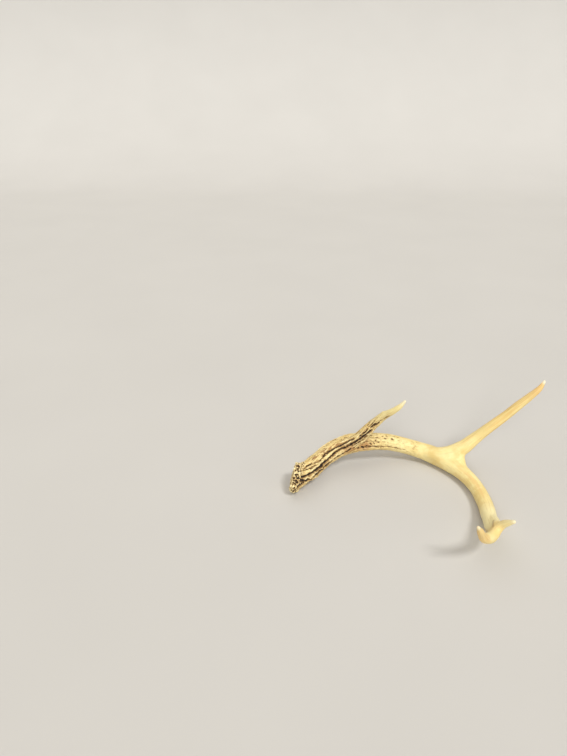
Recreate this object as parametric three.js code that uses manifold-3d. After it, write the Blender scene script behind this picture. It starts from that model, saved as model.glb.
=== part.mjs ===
// A shed deer antler lying on its burr and beam with the tines up, in millimetres, +Z up.
// The main beam sweeps from the burr at -X round to +X and then towards -Y, and ends in a
// curled tip. A brow tine, a long second tine and a short third tine stand on it. The antler
// is one grown piece, and its meshes part where it forks. The origin is under the middle of
// the antler, on the surface that it lies on.
import * as THREE from "three";
import { mergeVertices } from "three/addons/utils/BufferGeometryUtils.js";
import Module from "manifold-3d";

const wasm = await Module();
wasm.setup();

// Driving dimensions.
const SEAM_GAP = 0.3;
const SEAL_RADIUS = 11;
const BURR_RADIUS = 24.2;
const BURR_LENGTH = 14;
const BURR_KNOBS = 13;
const BURR_KNOB_HEIGHT = 1.5;
const BURR_AXIS = new THREE.Vector3(1, -0.16, -0.2).normalize();
const BURR_TURN_END = 36;
const RIDGES = { beam: 10, brow: 7 };
const RIDGE_DEPTH = 1.5;
const BARK_END = 200;

// Stations along each branch: x, y, z of its axis, and its radius.
const MAIN_BEAM = [
  [-184.5, 43.5, 24, 16.5],
  [-173.5, 48.5, 24.5, 16.4],
  [-158.5, 58.5, 25.5, 15.8],
  [-140, 80, 28, 14.7],
  [-106, 108, 33.5, 15.1],
  [-83, 115.5, 36.5, 15.4],
  [-46.5, 121, 35, 13.9],
  [-23, 124, 31.5, 13.4],
  [2, 123, 25.5, 12.9],
  [26.5, 119, 19.5, 13.4],
  [48.5, 110, 15.2, 14.4],
  [69.5, 87, 14.6, 13.6],
  [84.5, 61.5, 13.2, 11.6],
  [93, 36.5, 12.2, 11.5],
  [96, 3, 11.6, 11.4],
  [91.5, -29, 15.5, 11],
  [81, -66.5, 27, 9.6],
  [67.5, -96.5, 39, 9.5],
  [53, -115.5, 52, 7.5],
  [43.5, -124.5, 65, 5.8],
  [37.5, -130.5, 78, 4.1],
  [33.5, -135, 88, 1.6],
];
const BROW_TINE = [
  [-126.5, 91, 31, 9.5],
  [-99.5, 98.5, 42, 11.9],
  [-80, 99, 58, 11],
  [-67.5, 99, 72, 9.1],
  [-55.5, 98.5, 86, 7.4],
  [-43.5, 94, 101, 5.8],
  [-32.5, 84.5, 115, 4.5],
  [-24, 79.5, 126, 3.4],
  [-18, 78.5, 135, 1.6],
];
const SECOND_TINE = [
  [26, 117.5, 20, 9.6],
  [58.5, 100, 24, 12.8],
  [85, 97.5, 38, 11.8],
  [103.5, 99.5, 55, 9.4],
  [122, 93.5, 81, 7.6],
  [140.5, 90.5, 103, 7],
  [157, 86.5, 126, 6.2],
  [170, 83, 144, 5],
  [178.5, 82.5, 155, 3.7],
  [185, 86, 164, 1.7],
];
const THIRD_TINE = [
  [91.5, -29.5, 16, 8.4],
  [80, -70.5, 30, 8.6],
  [79, -89, 42, 8.2],
  [84, -93.5, 52, 5.6],
  [88, -98.5, 61, 4],
  [92, -104.5, 69, 1.8],
];
// The balls that the web of bone in a fork is stretched over: x, y, z and radius.
const SECOND_WEB = [
  [60, 98, 20, 12],
  [77, 98, 33, 9],
  [80, 77, 17, 9],
];
const THIRD_WEB = [
  [81, -68, 28, 8.5],
  [78, -86, 40, 7.5],
  [69, -93, 37, 8.5],
];

// Where the antler forks: distances along the beam, and along each tine, of the seams.
const BROW_FORK = 152;
const SECOND_FORK = 326;
const THIRD_FORK = 505;
const BROW_SEAM = 66;
const SECOND_SEAM = 84;
const THIRD_SEAM = 72;

// A smooth route through stations, with the radius and a frame that doesn't twist along it.
// Where startAxis is given, the rings turn from it to the route's own direction by turnEnd.
class Branch {
  constructor(stations, startAxis = null, turnEnd = 0) {
    const centres = stations.map(([x, y, z]) => new THREE.Vector3(x, y, z));
    const radii = stations.map((station) => new THREE.Vector3(station[3], 0, 0));
    this.route = new THREE.CatmullRomCurve3(centres, false, "centripetal");
    this.radii = new THREE.CatmullRomCurve3(radii, false, "catmullrom", 0.5);
    this.route.arcLengthDivisions = 400;
    this.length = this.route.getLength();
    this.startAxis = startAxis;
    this.turnEnd = turnEnd;
  }

  directionAt(distance) {
    const tangent = this.route.getTangentAt(distance / this.length);
    if (this.startAxis === null) {
      return tangent;
    }
    const turned = THREE.MathUtils.smoothstep(distance, 0, this.turnEnd);
    return this.startAxis.clone().lerp(tangent, turned).normalize();
  }

  // Frames at the given distances, each carried on from the one before it.
  frames(distances) {
    let carried = new THREE.Vector3(0, 0, 1);
    return distances.map((distance) => {
      const share = distance / this.length;
      const along = this.directionAt(distance);
      carried = carried.clone().addScaledVector(along, -carried.dot(along)).normalize();
      return {
        centre: this.route.getPointAt(share),
        radius: this.radii.getPoint(this.route.getUtoTmapping(share)).x,
        across: carried,
        beside: new THREE.Vector3().crossVectors(along, carried),
      };
    });
  }
}

// The point that stands off a frame's centre by reach, in the direction of angle.
function around(frame, reach, angle) {
  return frame.centre
    .clone()
    .addScaledVector(frame.across, reach * Math.cos(angle))
    .addScaledVector(frame.beside, reach * Math.sin(angle));
}

// A closed cylinder with its rings moved onto a branch. outline gives the radius of the
// surface from a distance along the branch, the angle round it and the plain radius.
function sweep(branch, distances, sides, outline = (distance, angle, radius) => radius) {
  const steps = distances.length - 1;
  const frames = branch.frames(distances);
  const cylinder = new THREE.CylinderGeometry(1, 1, 1, sides, steps);
  const position = cylinder.getAttribute("position");
  for (let i = 0; i < position.count; i += 1) {
    const ring = Math.round((position.getY(i) + 0.5) * steps);
    const share = Math.hypot(position.getX(i), position.getZ(i));
    const turn = Math.round((Math.atan2(position.getX(i), position.getZ(i)) * sides) / (2 * Math.PI));
    const angle = (2 * Math.PI * ((turn + sides) % sides)) / sides;
    const reach = share * outline(distances[ring], angle, frames[ring].radius);
    const point = around(frames[ring], reach, angle);
    position.setXYZ(i, point.x, point.y, point.z);
  }
  return toSolid(cylinder);
}

function toSolid(geometry) {
  geometry.deleteAttribute("normal");
  geometry.deleteAttribute("uv");
  const merged = mergeVertices(geometry);
  const vertProperties = new Float32Array(merged.getAttribute("position").array);
  const count = vertProperties.length / 3;
  const triVerts = new Uint32Array(merged.index ? merged.index.array : Array(count).keys());
  return new wasm.Manifold(new wasm.Mesh({ numProp: 3, vertProperties, triVerts }));
}

function evenly(from, to, step) {
  const count = Math.max(1, Math.round((to - from) / step));
  return Array.from({ length: count + 1 }, (_, i) => from + ((to - from) * i) / count);
}

// Long ridges that wander a little round the branch and die out towards end.
function barkRidges(distance, angle, count, end, depth) {
  const fade = 1 - THREE.MathUtils.smoothstep(distance, 0.35 * end, end);
  const wander = 0.16 * Math.sin(distance / 13) + 0.1 * Math.sin(distance / 6 + 2 * angle);
  const crest = Math.abs(Math.cos((count / 2) * (angle + wander)));
  return fade * depth * (crest - 0.6);
}

// The burr: from the flat seal out to a ring of knobs, and back down to the beam.
function beamOutline(distance, angle, radius) {
  const barked = THREE.MathUtils.smoothstep(distance, 12, 26);
  const ridges = barkRidges(distance, angle, RIDGES.beam, BARK_END, RIDGE_DEPTH);
  const plain = radius + barked * ridges;
  const knob = BURR_KNOB_HEIGHT * (Math.cos(BURR_KNOBS * angle + 1.3 * Math.sin(3 * angle)) - 1);
  const rim = BURR_RADIUS + knob;
  if (distance <= 7) {
    const opened = Math.sqrt(THREE.MathUtils.smoothstep(distance, 0, 7));
    return THREE.MathUtils.lerp(SEAL_RADIUS, rim, opened);
  }
  return THREE.MathUtils.lerp(rim, plain, THREE.MathUtils.smoothstep(distance, 8, BURR_LENGTH));
}

function browOutline(distance, angle, radius) {
  return radius + barkRidges(distance, angle, RIDGES.brow, 140, 0.9);
}

function middleOutline(distance, angle, radius) {
  return radius + barkRidges(distance, angle, RIDGES.brow, BARK_END + 60, 0.6);
}

// Round pearls of bone half sunk in a branch, spread over part of its length and girth.
function pearls(branch, { count, from, to, middle, spread, size }) {
  const distances = evenly(from, to, (to - from) / (count - 1));
  const frames = branch.frames(distances);
  return frames.map((frame, i) => {
    const angle = middle + spread * Math.sin(2.4 * i);
    const radius = size * (1 + 0.3 * Math.cos(1.7 * i));
    const pearl = new THREE.IcosahedronGeometry(radius, 1);
    const centre = around(frame, frame.radius, angle);
    pearl.translate(centre.x, centre.y, centre.z);
    return toSolid(pearl);
  });
}

function web(balls) {
  const solids = balls.map(([x, y, z, radius]) => {
    const ball = new THREE.IcosahedronGeometry(radius, 1);
    ball.translate(x, y, z);
    return toSolid(ball);
  });
  return wasm.Manifold.hull(solids);
}

const beam = new Branch(MAIN_BEAM, BURR_AXIS, BURR_TURN_END);
const brow = new Branch(BROW_TINE);
const second = new Branch(SECOND_TINE);
const third = new Branch(THIRD_TINE);

function lowerBeam() {
  const burrRings = [0, 1.2, 3, 5, 7, 8.5, 11, 14, 17, 20.5];
  const shaftRings = evenly(27, BROW_FORK, 7);
  const shaft = sweep(beam, [...burrRings, ...shaftRings], 4 * RIDGES.beam, beamOutline);
  const browRoot = sweep(brow, evenly(0, BROW_SEAM, 6), 3 * RIDGES.brow, browOutline);
  const byBurr = { count: 10, from: 17, to: 44, middle: 3.3, spread: 1.9, size: 2.1 };
  const byFork = { count: 4, from: 122, to: 146, middle: 2.6, spread: 0.7, size: 2 };
  const grown = [...pearls(beam, byBurr), ...pearls(beam, byFork)];
  return wasm.Manifold.union([shaft, browRoot, ...grown]);
}

function browTine() {
  return sweep(brow, evenly(BROW_SEAM + SEAM_GAP, brow.length, 5), 3 * RIDGES.brow, browOutline);
}

function middleBeam() {
  const shaft = sweep(beam, evenly(BROW_FORK + SEAM_GAP, SECOND_FORK, 7), 24, middleOutline);
  const secondRoot = sweep(second, evenly(15, SECOND_SEAM, 7), 18);
  return wasm.Manifold.union([shaft, secondRoot, web(SECOND_WEB)]);
}

function secondTine() {
  return sweep(second, evenly(SECOND_SEAM + SEAM_GAP, second.length, 6), 16);
}

function upperBeam() {
  const shaft = sweep(beam, evenly(SECOND_FORK + SEAM_GAP, THIRD_FORK, 7), 18);
  const thirdRoot = sweep(third, evenly(30, THIRD_SEAM, 6), 16);
  return wasm.Manifold.union([shaft, thirdRoot, web(THIRD_WEB)]);
}

function beamTip() {
  return sweep(beam, evenly(THIRD_FORK + SEAM_GAP, beam.length, 4), 16);
}

function thirdTine() {
  return sweep(third, evenly(THIRD_SEAM + SEAM_GAP, third.length, 3), 12);
}

const bark = new THREE.MeshStandardMaterial({ color: 0xb89a6a, roughness: 0.75, metalness: 0 });
const bone = new THREE.MeshStandardMaterial({ color: 0xd6c08c, roughness: 0.55, metalness: 0 });
const polished = new THREE.MeshStandardMaterial({ color: 0xdcb878, roughness: 0.42, metalness: 0 });

function toMesh(name, solid, material) {
  const { vertProperties, triVerts } = solid.getMesh();
  const geometry = new THREE.BufferGeometry();
  geometry.setAttribute("position", new THREE.BufferAttribute(vertProperties, 3));
  geometry.setIndex(new THREE.BufferAttribute(triVerts, 1));
  geometry.computeVertexNormals();
  const mesh = new THREE.Mesh(geometry, material);
  mesh.name = name;
  return mesh;
}

const antler = new THREE.Group();
antler.add(
  toMesh("lower_beam", lowerBeam(), bark),
  toMesh("brow_tine", browTine(), bark),
  toMesh("middle_beam", middleBeam(), bone),
  toMesh("second_tine", secondTine(), polished),
  toMesh("upper_beam", upperBeam(), bone),
  toMesh("third_tine", thirdTine(), polished),
  toMesh("beam_tip", beamTip(), polished),
);

export default antler;
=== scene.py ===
"""A shed deer antler: ridged bark with a knobbly burr below, smooth bone above, pale tips.

The whole antler is one mesh. Its branches, burr, pearls and the webs of bone in its forks are
closed shapes that are merged into one skin. The grooves of the bark are carved into the skin,
and dirt with painted shade then darkens it wherever the carved skin is hollow, the painted shade
most on the upper walls of the grooves. Lengths are written in millimetres and multiplied by
MM where they are used, apart from those of the studio, which are in metres.
"""

import math

import bpy
import numpy as np
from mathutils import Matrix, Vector, geometry, noise
from mathutils.bvhtree import BVHTree
from mathutils.kdtree import KDTree


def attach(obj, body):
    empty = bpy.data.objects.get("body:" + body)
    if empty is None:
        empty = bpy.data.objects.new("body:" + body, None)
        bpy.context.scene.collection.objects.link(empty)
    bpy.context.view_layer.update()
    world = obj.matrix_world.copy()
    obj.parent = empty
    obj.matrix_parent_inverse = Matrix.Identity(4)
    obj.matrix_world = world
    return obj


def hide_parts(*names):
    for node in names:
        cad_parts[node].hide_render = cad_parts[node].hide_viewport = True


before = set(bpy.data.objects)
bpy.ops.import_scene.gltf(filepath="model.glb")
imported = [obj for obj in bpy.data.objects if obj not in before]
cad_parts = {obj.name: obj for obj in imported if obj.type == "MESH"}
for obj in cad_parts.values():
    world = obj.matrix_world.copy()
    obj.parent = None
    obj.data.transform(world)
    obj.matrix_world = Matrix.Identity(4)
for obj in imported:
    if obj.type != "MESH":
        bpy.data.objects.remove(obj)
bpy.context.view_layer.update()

MM = 0.001

# The branches are numbered in this order.
BEAM, BROW, SECOND, THIRD = range(4)

# Stations along each branch: x, y, z of its axis, and its radius.
MAIN_BEAM = [
    (-174, 48.8, 24.4, 15),
    (-158.5, 58.5, 25.5, 15.6),
    (-140, 80, 28, 14.9),
    (-106, 108, 33.5, 15.1),
    (-83, 115.5, 36.5, 15.4),
    (-46.5, 121, 35, 13.9),
    (-23, 124, 31.5, 13.4),
    (2, 123, 25.5, 12.9),
    (26.5, 119, 19.5, 13.4),
    (48.5, 110, 15.2, 14.4),
    (69.5, 87, 14.6, 13.6),
    (84.5, 61.5, 13.2, 11.5),
    (92.8, 36.5, 12.2, 11),
    (95.6, 3, 11.6, 10.9),
    (91.4, -29.5, 15.5, 10.8),
    (81.5, -66.5, 27, 9.1),
    (69.2, -99.5, 39, 7.4),
    (53.2, -115.5, 52.4, 6.6),
    (45.4, -123.3, 65, 5.1),
    (39, -130.7, 78, 4.2),
    (33.6, -135.5, 88, 2.4),
]
BROW_TINE = [
    (-126.5, 91, 31, 9.5),
    (-99, 98.2, 41.5, 11),
    (-78.8, 98.4, 56.8, 9.2),
    (-66.7, 98.6, 71.2, 8),
    (-55.1, 98.3, 85.6, 7.1),
    (-43.5, 94, 101, 6.1),
    (-32.5, 84.5, 115, 4.9),
    (-24, 79.5, 126, 3.9),
    (-17.5, 78.2, 136, 2.1),
]
SECOND_TINE = [
    (26, 117.5, 20, 9.6),
    (58.5, 100, 24, 12.8),
    (85, 97.5, 38, 11.8),
    (103.5, 99.5, 55, 9.5),
    (122, 93.5, 81, 7.9),
    (140.5, 90.5, 103, 7.2),
    (157, 86.5, 126, 6.5),
    (170, 83, 144, 5.5),
    (178.5, 82.5, 155, 4.3),
    (185, 86, 164.5, 2.5),
]
# The third tine sweeps out of the curled end of the beam in one crescent.
THIRD_TINE = [
    (55, -114, 51.3, 6.3),
    (63, -107.5, 45.5, 6.6),
    (72.4, -98.6, 42.5, 6.8),
    (78.7, -92.5, 45.6, 6),
    (83.3, -92, 52.4, 5.4),
    (86.8, -98, 61, 4.3),
    (90.5, -104.8, 69, 2.7),
]
# Balls that the webs of bone under the burr and in two forks are stretched over: x, y, z and
# radius.
BURR_WEB = [(-180.3, 36.5, 13.2, 7.6), (-177, 49, 12, 8.8), (-158.5, 58.5, 25.5, 15.4)]
SECOND_WEB = [(56, 98, 18, 12), (80, 96.5, 31.5, 9.5), (81.5, 76, 16, 9.8)]
THIRD_WEB = [(89.5, -50, 22.5, 8), (80.8, -86.5, 45.5, 6.2), (75, -93.6, 41.5, 6.4)]
# Where branches part, and how far round that the skin is eased: x, y, z and radius.
FORKS = [(-84, 104, 50, 20), (80, 89, 25, 36), (79, -84, 38, 16)]

BURR_AXIS = Vector((1, -0.16, -0.2)).normalized()
BURR_START = Vector((-184.5, 43.5, 24)) * MM
BURR_RADIUS = 23.6 * MM
BURR_LENGTH = 12.5 * MM
# The collar under the knobs: how much narrower than the burr it is at the seal and at the beam,
# how much shorter it is, and how far it stands off the middle of the burr.
COLLAR_INSETS = (1.6, 4.5)
COLLAR_SHORTER = 2.5
COLLAR_OFFSET = 0.5
# The domed seal, and the foot that the web under the burr starts from: how far up the burr,
# the radius, and how flat.
SEAL_DOME = (2, 15, 0.18)
BURR_FOOT = (5.5, 17.5, 0.3)
# Rows of knobs round the burr: how far up it, and how many.
KNOB_ROWS = [(4.0, 16), (8.0, 14), (12.0, 15)]
KNOB_RADII = (2.4, 3.9)
# How far a knob may stray: round the rim as a share of the gap to the next knob, out from the
# rim, and along the burr.
KNOB_TURN = (-0.32, 0.32)
KNOB_REACH = (-0.9, 0.6)
KNOB_RISE = (-0.8, 0.8)
# Knobs above this level lean in, by this share of their height above it.
KNOB_LEAN_LEVEL = 8
KNOB_LEAN = 0.7
# The largest knob: how far up the burr, angle from its top, distance from its axis, radius.
LARGE_KNOB = (5.5, -0.37, 19.8, 4.8)

# Grooves on the near side: width, depth, how dark, the length over which each end runs out,
# and the points that it runs over.
GROOVES = [
    # Round the neck of the burr.
    (1.3, 1.6, 1.0, 2, [(-178.5, 29.5, 40), (-175, 28, 38), (-174, 26, 33)]),
    # Along the top of the beam, in two broken lines, and on to the brow tine.
    (1.2, 1.3, 0.75, 6, [
        (-168, 41, 39.5), (-160, 50, 39.5), (-152, 55.5, 39), (-142.5, 62, 39),
        (-136, 70, 39.5), (-131, 79, 40),
    ]),
    (1.1, 1.2, 0.7, 5, [
        (-171, 38.5, 40), (-159, 45.5, 37), (-151.5, 51.5, 38), (-145, 56.5, 38.5),
    ]),
    (2.1, 2.2, 1.0, 6, [
        (-138, 71, 39), (-129, 82, 40.5), (-116.5, 91, 42.5), (-104.5, 94, 47.5),
        (-93, 95, 54.5), (-85, 93, 60.5),
    ]),
    (1.3, 1.4, 0.9, 4, [(-81, 90, 65), (-73.5, 91.5, 70), (-66, 92, 79)]),
    # The longest, from the burr up on to the brow tine.
    (2.7, 2.2, 1.0, 5, [
        (-173.5, 26.5, 35), (-164.5, 37.5, 29.5), (-155.5, 44.5, 30), (-146, 54, 31),
        (-136, 65.5, 32), (-126, 78, 34), (-115, 87.5, 38), (-106.5, 90, 43),
        (-98, 89, 46.5), (-89.5, 90, 52.5), (-82, 90.5, 57.5), (-75, 91, 63),
        (-69.5, 92, 68), (-59, 93.5, 79),
    ]),
    (1.9, 1.5, 0.95, 4, [(-64, 92.5, 79.5), (-59, 92.5, 84.5), (-53, 92.5, 89.5)]),
    (1.8, 1.4, 1.0, 3, [(-57.5, 93, 82.5), (-51.5, 91.5, 90), (-46.5, 89.5, 96.5)]),
    (1.1, 1.0, 0.6, 5, [(-49.5, 90.5, 92.5), (-42.5, 88.5, 101), (-36.5, 84, 109)]),
    # The lower one, next to the under side, and the one that takes over from it.
    (2.9, 1.3, 1.0, 3, [
        (-173.5, 23.5, 31), (-166, 37, 21.5), (-160, 40.5, 21.5), (-151.5, 45.5, 22),
        (-148, 47.5, 24), (-143, 52, 25.5), (-138, 57.5, 27), (-130.5, 70, 26.5),
        (-125, 75.5, 27), (-120, 80.5, 27.5),
    ]),
    (2.2, 1.3, 1.0, 3, [
        (-119, 82, 27.5), (-112, 87, 31), (-101, 89, 37), (-90, 88, 44),
    ]),
    (3.4, 1.6, 1.0, 3, [(-177.5, 22, 24), (-170.5, 32, 18), (-164, 36, 17.5)]),
    # Across the fork.
    (1.2, 1.5, 0.9, 5, [
        (-92, 88, 47.5), (-81.5, 89, 53.5), (-74, 91, 58.5), (-65, 91, 67.5),
    ]),
    (1.1, 1.2, 0.7, 4, [(-86, 88.5, 46), (-79.5, 89.5, 50), (-73, 93, 53)]),
    # On the brow tine's upper side.
    (1.0, 0.8, 0.45, 5, [(-68, 93, 80), (-63, 93.5, 85), (-57.5, 93.5, 91)]),
    (1.1, 1.0, 0.7, 2, [(-70, 96.5, 82), (-65.5, 96.5, 85.5)]),
    # The last one, which fades out along the middle of the beam.
    (1.3, 1.1, 0.6, 16, [
        (-78, 101.5, 36), (-61.5, 104.5, 36.5), (-45.5, 108, 34), (-27.5, 111.5, 32),
        (-9.5, 112, 27.5), (4.5, 111, 26.5),
    ]),
]
# Width, depth and fade of the short cracks on the middle of the beam.
FLECK_SIZE = (1.2, 0.8, 1.5)
# The short cracks one by one: how dark, and from one end to the other.
FLECKS = [
    (1.0, (-59.5, 106.5, 43), (-55.5, 106, 39)), (0.8, (-54.5, 107, 43), (-51.5, 107, 39.5)),
    (1.0, (-46, 109.5, 41.5), (-43, 109, 41)), (0.55, (-52, 110.5, 44.5), (-47.5, 110.5, 44)),
    (0.55, (-50, 114, 47.5), (-44, 114.5, 47)), (0.6, (-39.5, 118.5, 47.5), (-35, 119, 46.5)),
    (0.9, (-35.5, 115.5, 45), (-30, 116, 44.5)), (0.5, (-32.5, 121.5, 46.5), (-29, 120.5, 46)),
    (0.75, (-24, 117, 42.5), (-17, 116.5, 41.5)), (0.5, (-20.5, 122.5, 44.5), (-15, 123, 43.5)),
    (0.4, (-14, 122.5, 42), (-8.5, 123.5, 41.5)), (0.4, (-13, 117, 40.5), (-9, 117, 39.5)),
]
# Brown stains with painted shade in the creases where the end of the beam turns up, each from
# one end to the other.
SHADED_CREASE_STAINS = [[(79.5, -74.5, 43.5), (73, -89.5, 47.5)], [(71, -73, 27), (66, -91, 39.5)]]
SHADED_CREASE_WIDTH = (0.3, 3)
# Pits on the burr, by the forks and on the brow tine: x, y, z and radius.
PIT_DEPTH = 1.7
PITS = [
    (-175, 42.5, 44.5, 1.6), (-177.5, 42.5, 44.5, 1.3), (-175.5, 36, 43, 1.3),
    (-179.5, 33.5, 43.5, 1.4), (-181.5, 25.5, 35.5, 2), (-178, 26, 38.5, 1.2),
    (-178, 24, 32, 1.3), (-176.5, 23.5, 29, 1.9), (-182.5, 21.5, 29.5, 1.4),
    (-179.5, 21.5, 26.5, 1.6), (-181.5, 20.5, 19.5, 2.1), (-179.5, 24.5, 14, 1.7),
    (-182.5, 23.5, 12, 1.4), (-168.5, 34, 17.5, 2.2),
    (-72, 103.5, 37, 1.9), (-69, 103, 35.5, 1.6), (-77.5, 102, 36, 1.6),
    (-86.5, 88.5, 44.5, 1.5), (-92, 88, 43, 1.4), (-64.5, 104.5, 38, 1.5),
    (-68.5, 104.5, 44.5, 1.2), (-58, 93.5, 81.5, 1.8), (-53.5, 93, 88, 1.6),
]
# Pearls of bone along the edge of the under side: x, y, z and radius.
EDGE_PEARLS = [(-153, 45.5, 19.5, 1.8), (-148.5, 49.2, 19.5, 2), (-142.5, 55, 20.5, 1.7)]
# Pearls scattered over the bark next to the burr: how many, their radii, the mean and spread
# of their angles in degrees from the beam's top, and the nearest and the furthest.
SCATTERED_PEARLS = 46
PEARL_RADII = (1.2, 2.5)
PEARL_ANGLES = (150, 50)
NEAREST_PEARL = 4
FURTHEST_PEARL = 38
# The swelling near the end of the brow tine: x, y, z and radius.
BROW_KNOB = (-43.8, 93.7, 105.3, 4.1)
# The rough brown bark in the brow tine's fork, from one end to the other.
FORK_PATCH = [(-97, 88, 42), (-66, 104, 40)]
FORK_PATCH_WIDTH = (3, 15)
# The reddish mottled strip above the long grooves, from one end to the other.
VEINED_STRIP = [(-150, 62, 41.5), (-120, 92, 46), (-92, 97.5, 58.5)]
VEINED_WIDTH = (3, 9)
# Towards the upper wall of a groove, where dirt and painted shade are thickest: the painted
# shade of a wall that faces down.
SHADED_UPPER_WALL = Vector((0, 0.47, 0.88)) * 0.25 * MM

# Grooves on the sides away from the long ones wander along a branch: which branch, their angles
# in degrees from its top, their width and depth, where they start and end, each as a mean, a
# swing and a shift from one groove to the next, the step between their points, and their waves,
# each as a swing in radians, a length and a shift from one groove to the next.
WANDERING_GROOVES = [
    (
        BEAM, [128, 151, 176, 201, 226, 251, 276, 301, 324], (1.7, 2.4),
        (4, 5, 2.1), (166, 20, 1.3), 7, [(0.13, 17, 1.9), (0.06, 6.5, 2.7)],
    ),
    (
        BROW, [-178, -134, -92, -54], (1.4, 1.7),
        (34, 0, 0), (112, 9, 2), 6, [(0.14, 15, 1.9)],
    ),
]

# Swells of the whole skin, lumps of the bark, and how the grooves stray: height, size and seed.
SWELLS = [(0.32, 22, 31), (0.12, 7, 32)]
LUMPS = [(0.42, 3.4, 33), (0.2, 1.8, 34)]
STRAYS = [(1, 5, 3), (0.6, 2, 7)]
# Ridges rise by this much, from the first to the second distance away from a groove.
RIDGE_LIFT = 0.7
RIDGE_EDGES = (1.4, 3.2)
CRACK_DEPTH = 0.9
BURR_LUMP_HEIGHT = 1.5
BURR_PIT_DEPTH = 2.1
SEAL_SWELL = 0.9
SEAL_PORE_DEPTH = 0.7

# Where the seal runs out, across the burr's axis and up it.
SEAL_RADII = (12, 17)
SEAL_LEVELS = (3, 6)
# The length over which the burr runs out, and how far its edge wanders.
BURR_FADE = 3
BURR_EDGE_WANDER = 1.4

# Dirt with painted shade lies in skin that is this deep below what surrounds it, and wear with a
# painted highlight shows on skin that stands this high above it. On the burr both come sooner,
# by the next two lengths. What surrounds a place is the skin within this many faces of it.
DIRT_AND_SHADE_DEPTHS = (-0.05, 0.5)
WEAR_AND_HIGHLIGHT_HEIGHTS = (0.22, 0.6)
SOONER_BURR_DIRT_AND_SHADE = 0.1
SOONER_BURR_WEAR_AND_HIGHLIGHT = 0.12
SURROUNDING_FACES = 16
# How dark the dirt and painted shade get in hollows and in the broad part of a groove.
HOLLOW_DIRT_AND_SHADE = 0.74
GROOVE_DIRT_AND_SHADE = 0.64
# The darkest core of a groove, dirt with painted shade, as a share of its width.
GROOVE_SHADE_CORE = 0.7

# Where bark, marks and tints lie along a branch, from its root: where they begin and are full,
# or also where they begin to fade and are gone.
BEAM_BARK_FADE = (138, 193)
BROW_BARK_FADE = (85, 128)
FINE_BEAM_LENGTH = 226
FINE_BROW_LENGTH = 120
BEAM_FLECKS = (128, 163, 203, 318)
BROW_FLECKS = (50, 80, 105, 140)
HONEY_BEAM = (240, 360, 385, 415)
PALE_BEAM = (385, 415, 450, 480)
PALE_THIRD_TINE = (36, 54)
YELLOW_SECOND_TINE = (50, 110)
YELLOW_THIRD_TINE = (2, 26)
YELLOW_BEAM_END = (480, 518)
# From a tip: where the amber begins to fade and is gone.
AMBER_SECOND_TINE = (12, 46)
AMBER_BEAM_END = (30, 60)
# By branch: how far back its pale tip reaches, and how pale it is.
TIP_LENGTHS = np.array([5, 14, 6, 5])
TIP_STRENGTHS = np.array([0.6, 0.65, 1, 0.5])

# The antler's colours, as red, green and blue from 0 to 255.
CREAM = (243, 225, 158)
DEEP_CREAM = (232, 206, 134)
LIGHT_MOTTLE = (248, 234, 176)
HONEY = (228, 188, 120)
TINE_LIGHT = (250, 226, 154)
TINE_DARK = (236, 200, 124)
AMBER = (226, 178, 106)
PALE_BONE = (254, 242, 186)
GRAIN_LINE = (198, 158, 98)
BARK_TAN = (190, 148, 92)
WORN_RIDGE_AND_HIGHLIGHT = (252, 238, 184)
# Pale worn ridges, which also carry a painted highlight.
VEIN_BROWN = (150, 101, 54)
RUST = (172, 118, 66)
# Brown stain with painted shade in the creases where the beam's end turns up.
SHADED_CREASE_BROWN = (164, 124, 84)
FLECK_BROWN = (158, 118, 68)
# Dirt with painted shade in hollows and grooves, from tan through brown to black.
DIRT_AND_SHADE_TAN = (178, 140, 82)
DIRT_AND_SHADE_BROWN = (106, 76, 36)
DIRT_AND_SHADE_BLACK = (30, 19, 10)
IVORY_TIP = (246, 237, 208)

# The studio, in metres.
FLOOR_SIZE = 8
WALL_HEIGHT = 4
WALL_BEND = 1.6
FLOOR_GREY = (196, 193, 187)
FLOOR_LIGHT_GREY = (202, 199, 193)
BACKDROP_GREY = (217, 215, 208)
WHITE = (1, 1, 1)
# Suns: name, the direction they stand in, strength, spread in degrees and colour.
SUNS = [
    ("key", (0.38, -0.52, 0.9), 1.65, 13, WHITE),
    ("fill", (-0.3, -0.85, 0.5), 1.3, 20, WHITE),
    ("side", (0.85, -0.6, 0.25), 0.45, 30, WHITE),
    ("overhead", (-0.2, 0.2, 1.0), 1.1, 80, (1, 0.955, 0.89)),
]
WORLD_COLOUR = (1.0, 0.95, 0.88, 1)
WORLD_STRENGTH = 0.18
CAMERA_PLACE = (-0.197, -0.646, 0.560)
CAMERA_DIP = 28
# The sensor and the lens in millimetres: the focal length is 568 parts to a frame of 756.
SENSOR_HEIGHT = 36
FOCAL_LENGTH = SENSOR_HEIGHT * 568 / 756

# A branch ends in a ball that is a little smaller than its last station.
TIP_SHARE = 0.97

# The skin's mesh before it is carved: the size of its faces, and the steps that ease its
# creases and its forks.
FACE_SIZE = 1.5 * MM
CREASE_EASING = 6
FORK_EASING = 60
# How much less the creases near the burr are eased, and the least that any is.
BURR_HOLD = 0.7
LEAST_EASING = 0.08
# Where easing is held back, along the beam from the burr and from each tip.
NEAR_BURR = (24, 48)
NEAR_TIP = (1, 14)


def srgb(red, green, blue):
    """A colour given as 0 to 255 values, for a node socket."""
    channels = []
    for value in (red, green, blue):
        share = value / 255
        channels.append(share / 12.92 if share <= 0.04045 else ((share + 0.055) / 1.055) ** 2.4)
    return (*channels, 1.0)


def smoothstep(values, low, high):
    """A smooth rise from 0 at low to 1 at high."""
    share = np.clip((values - low) / (high - low), 0.0, 1.0)
    return share * share * (3 - 2 * share)


def rising(lengths, low, high):
    """A smooth rise from 0 at low to 1 at high, which are in millimetres."""
    return smoothstep(lengths, low * MM, high * MM)


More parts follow.
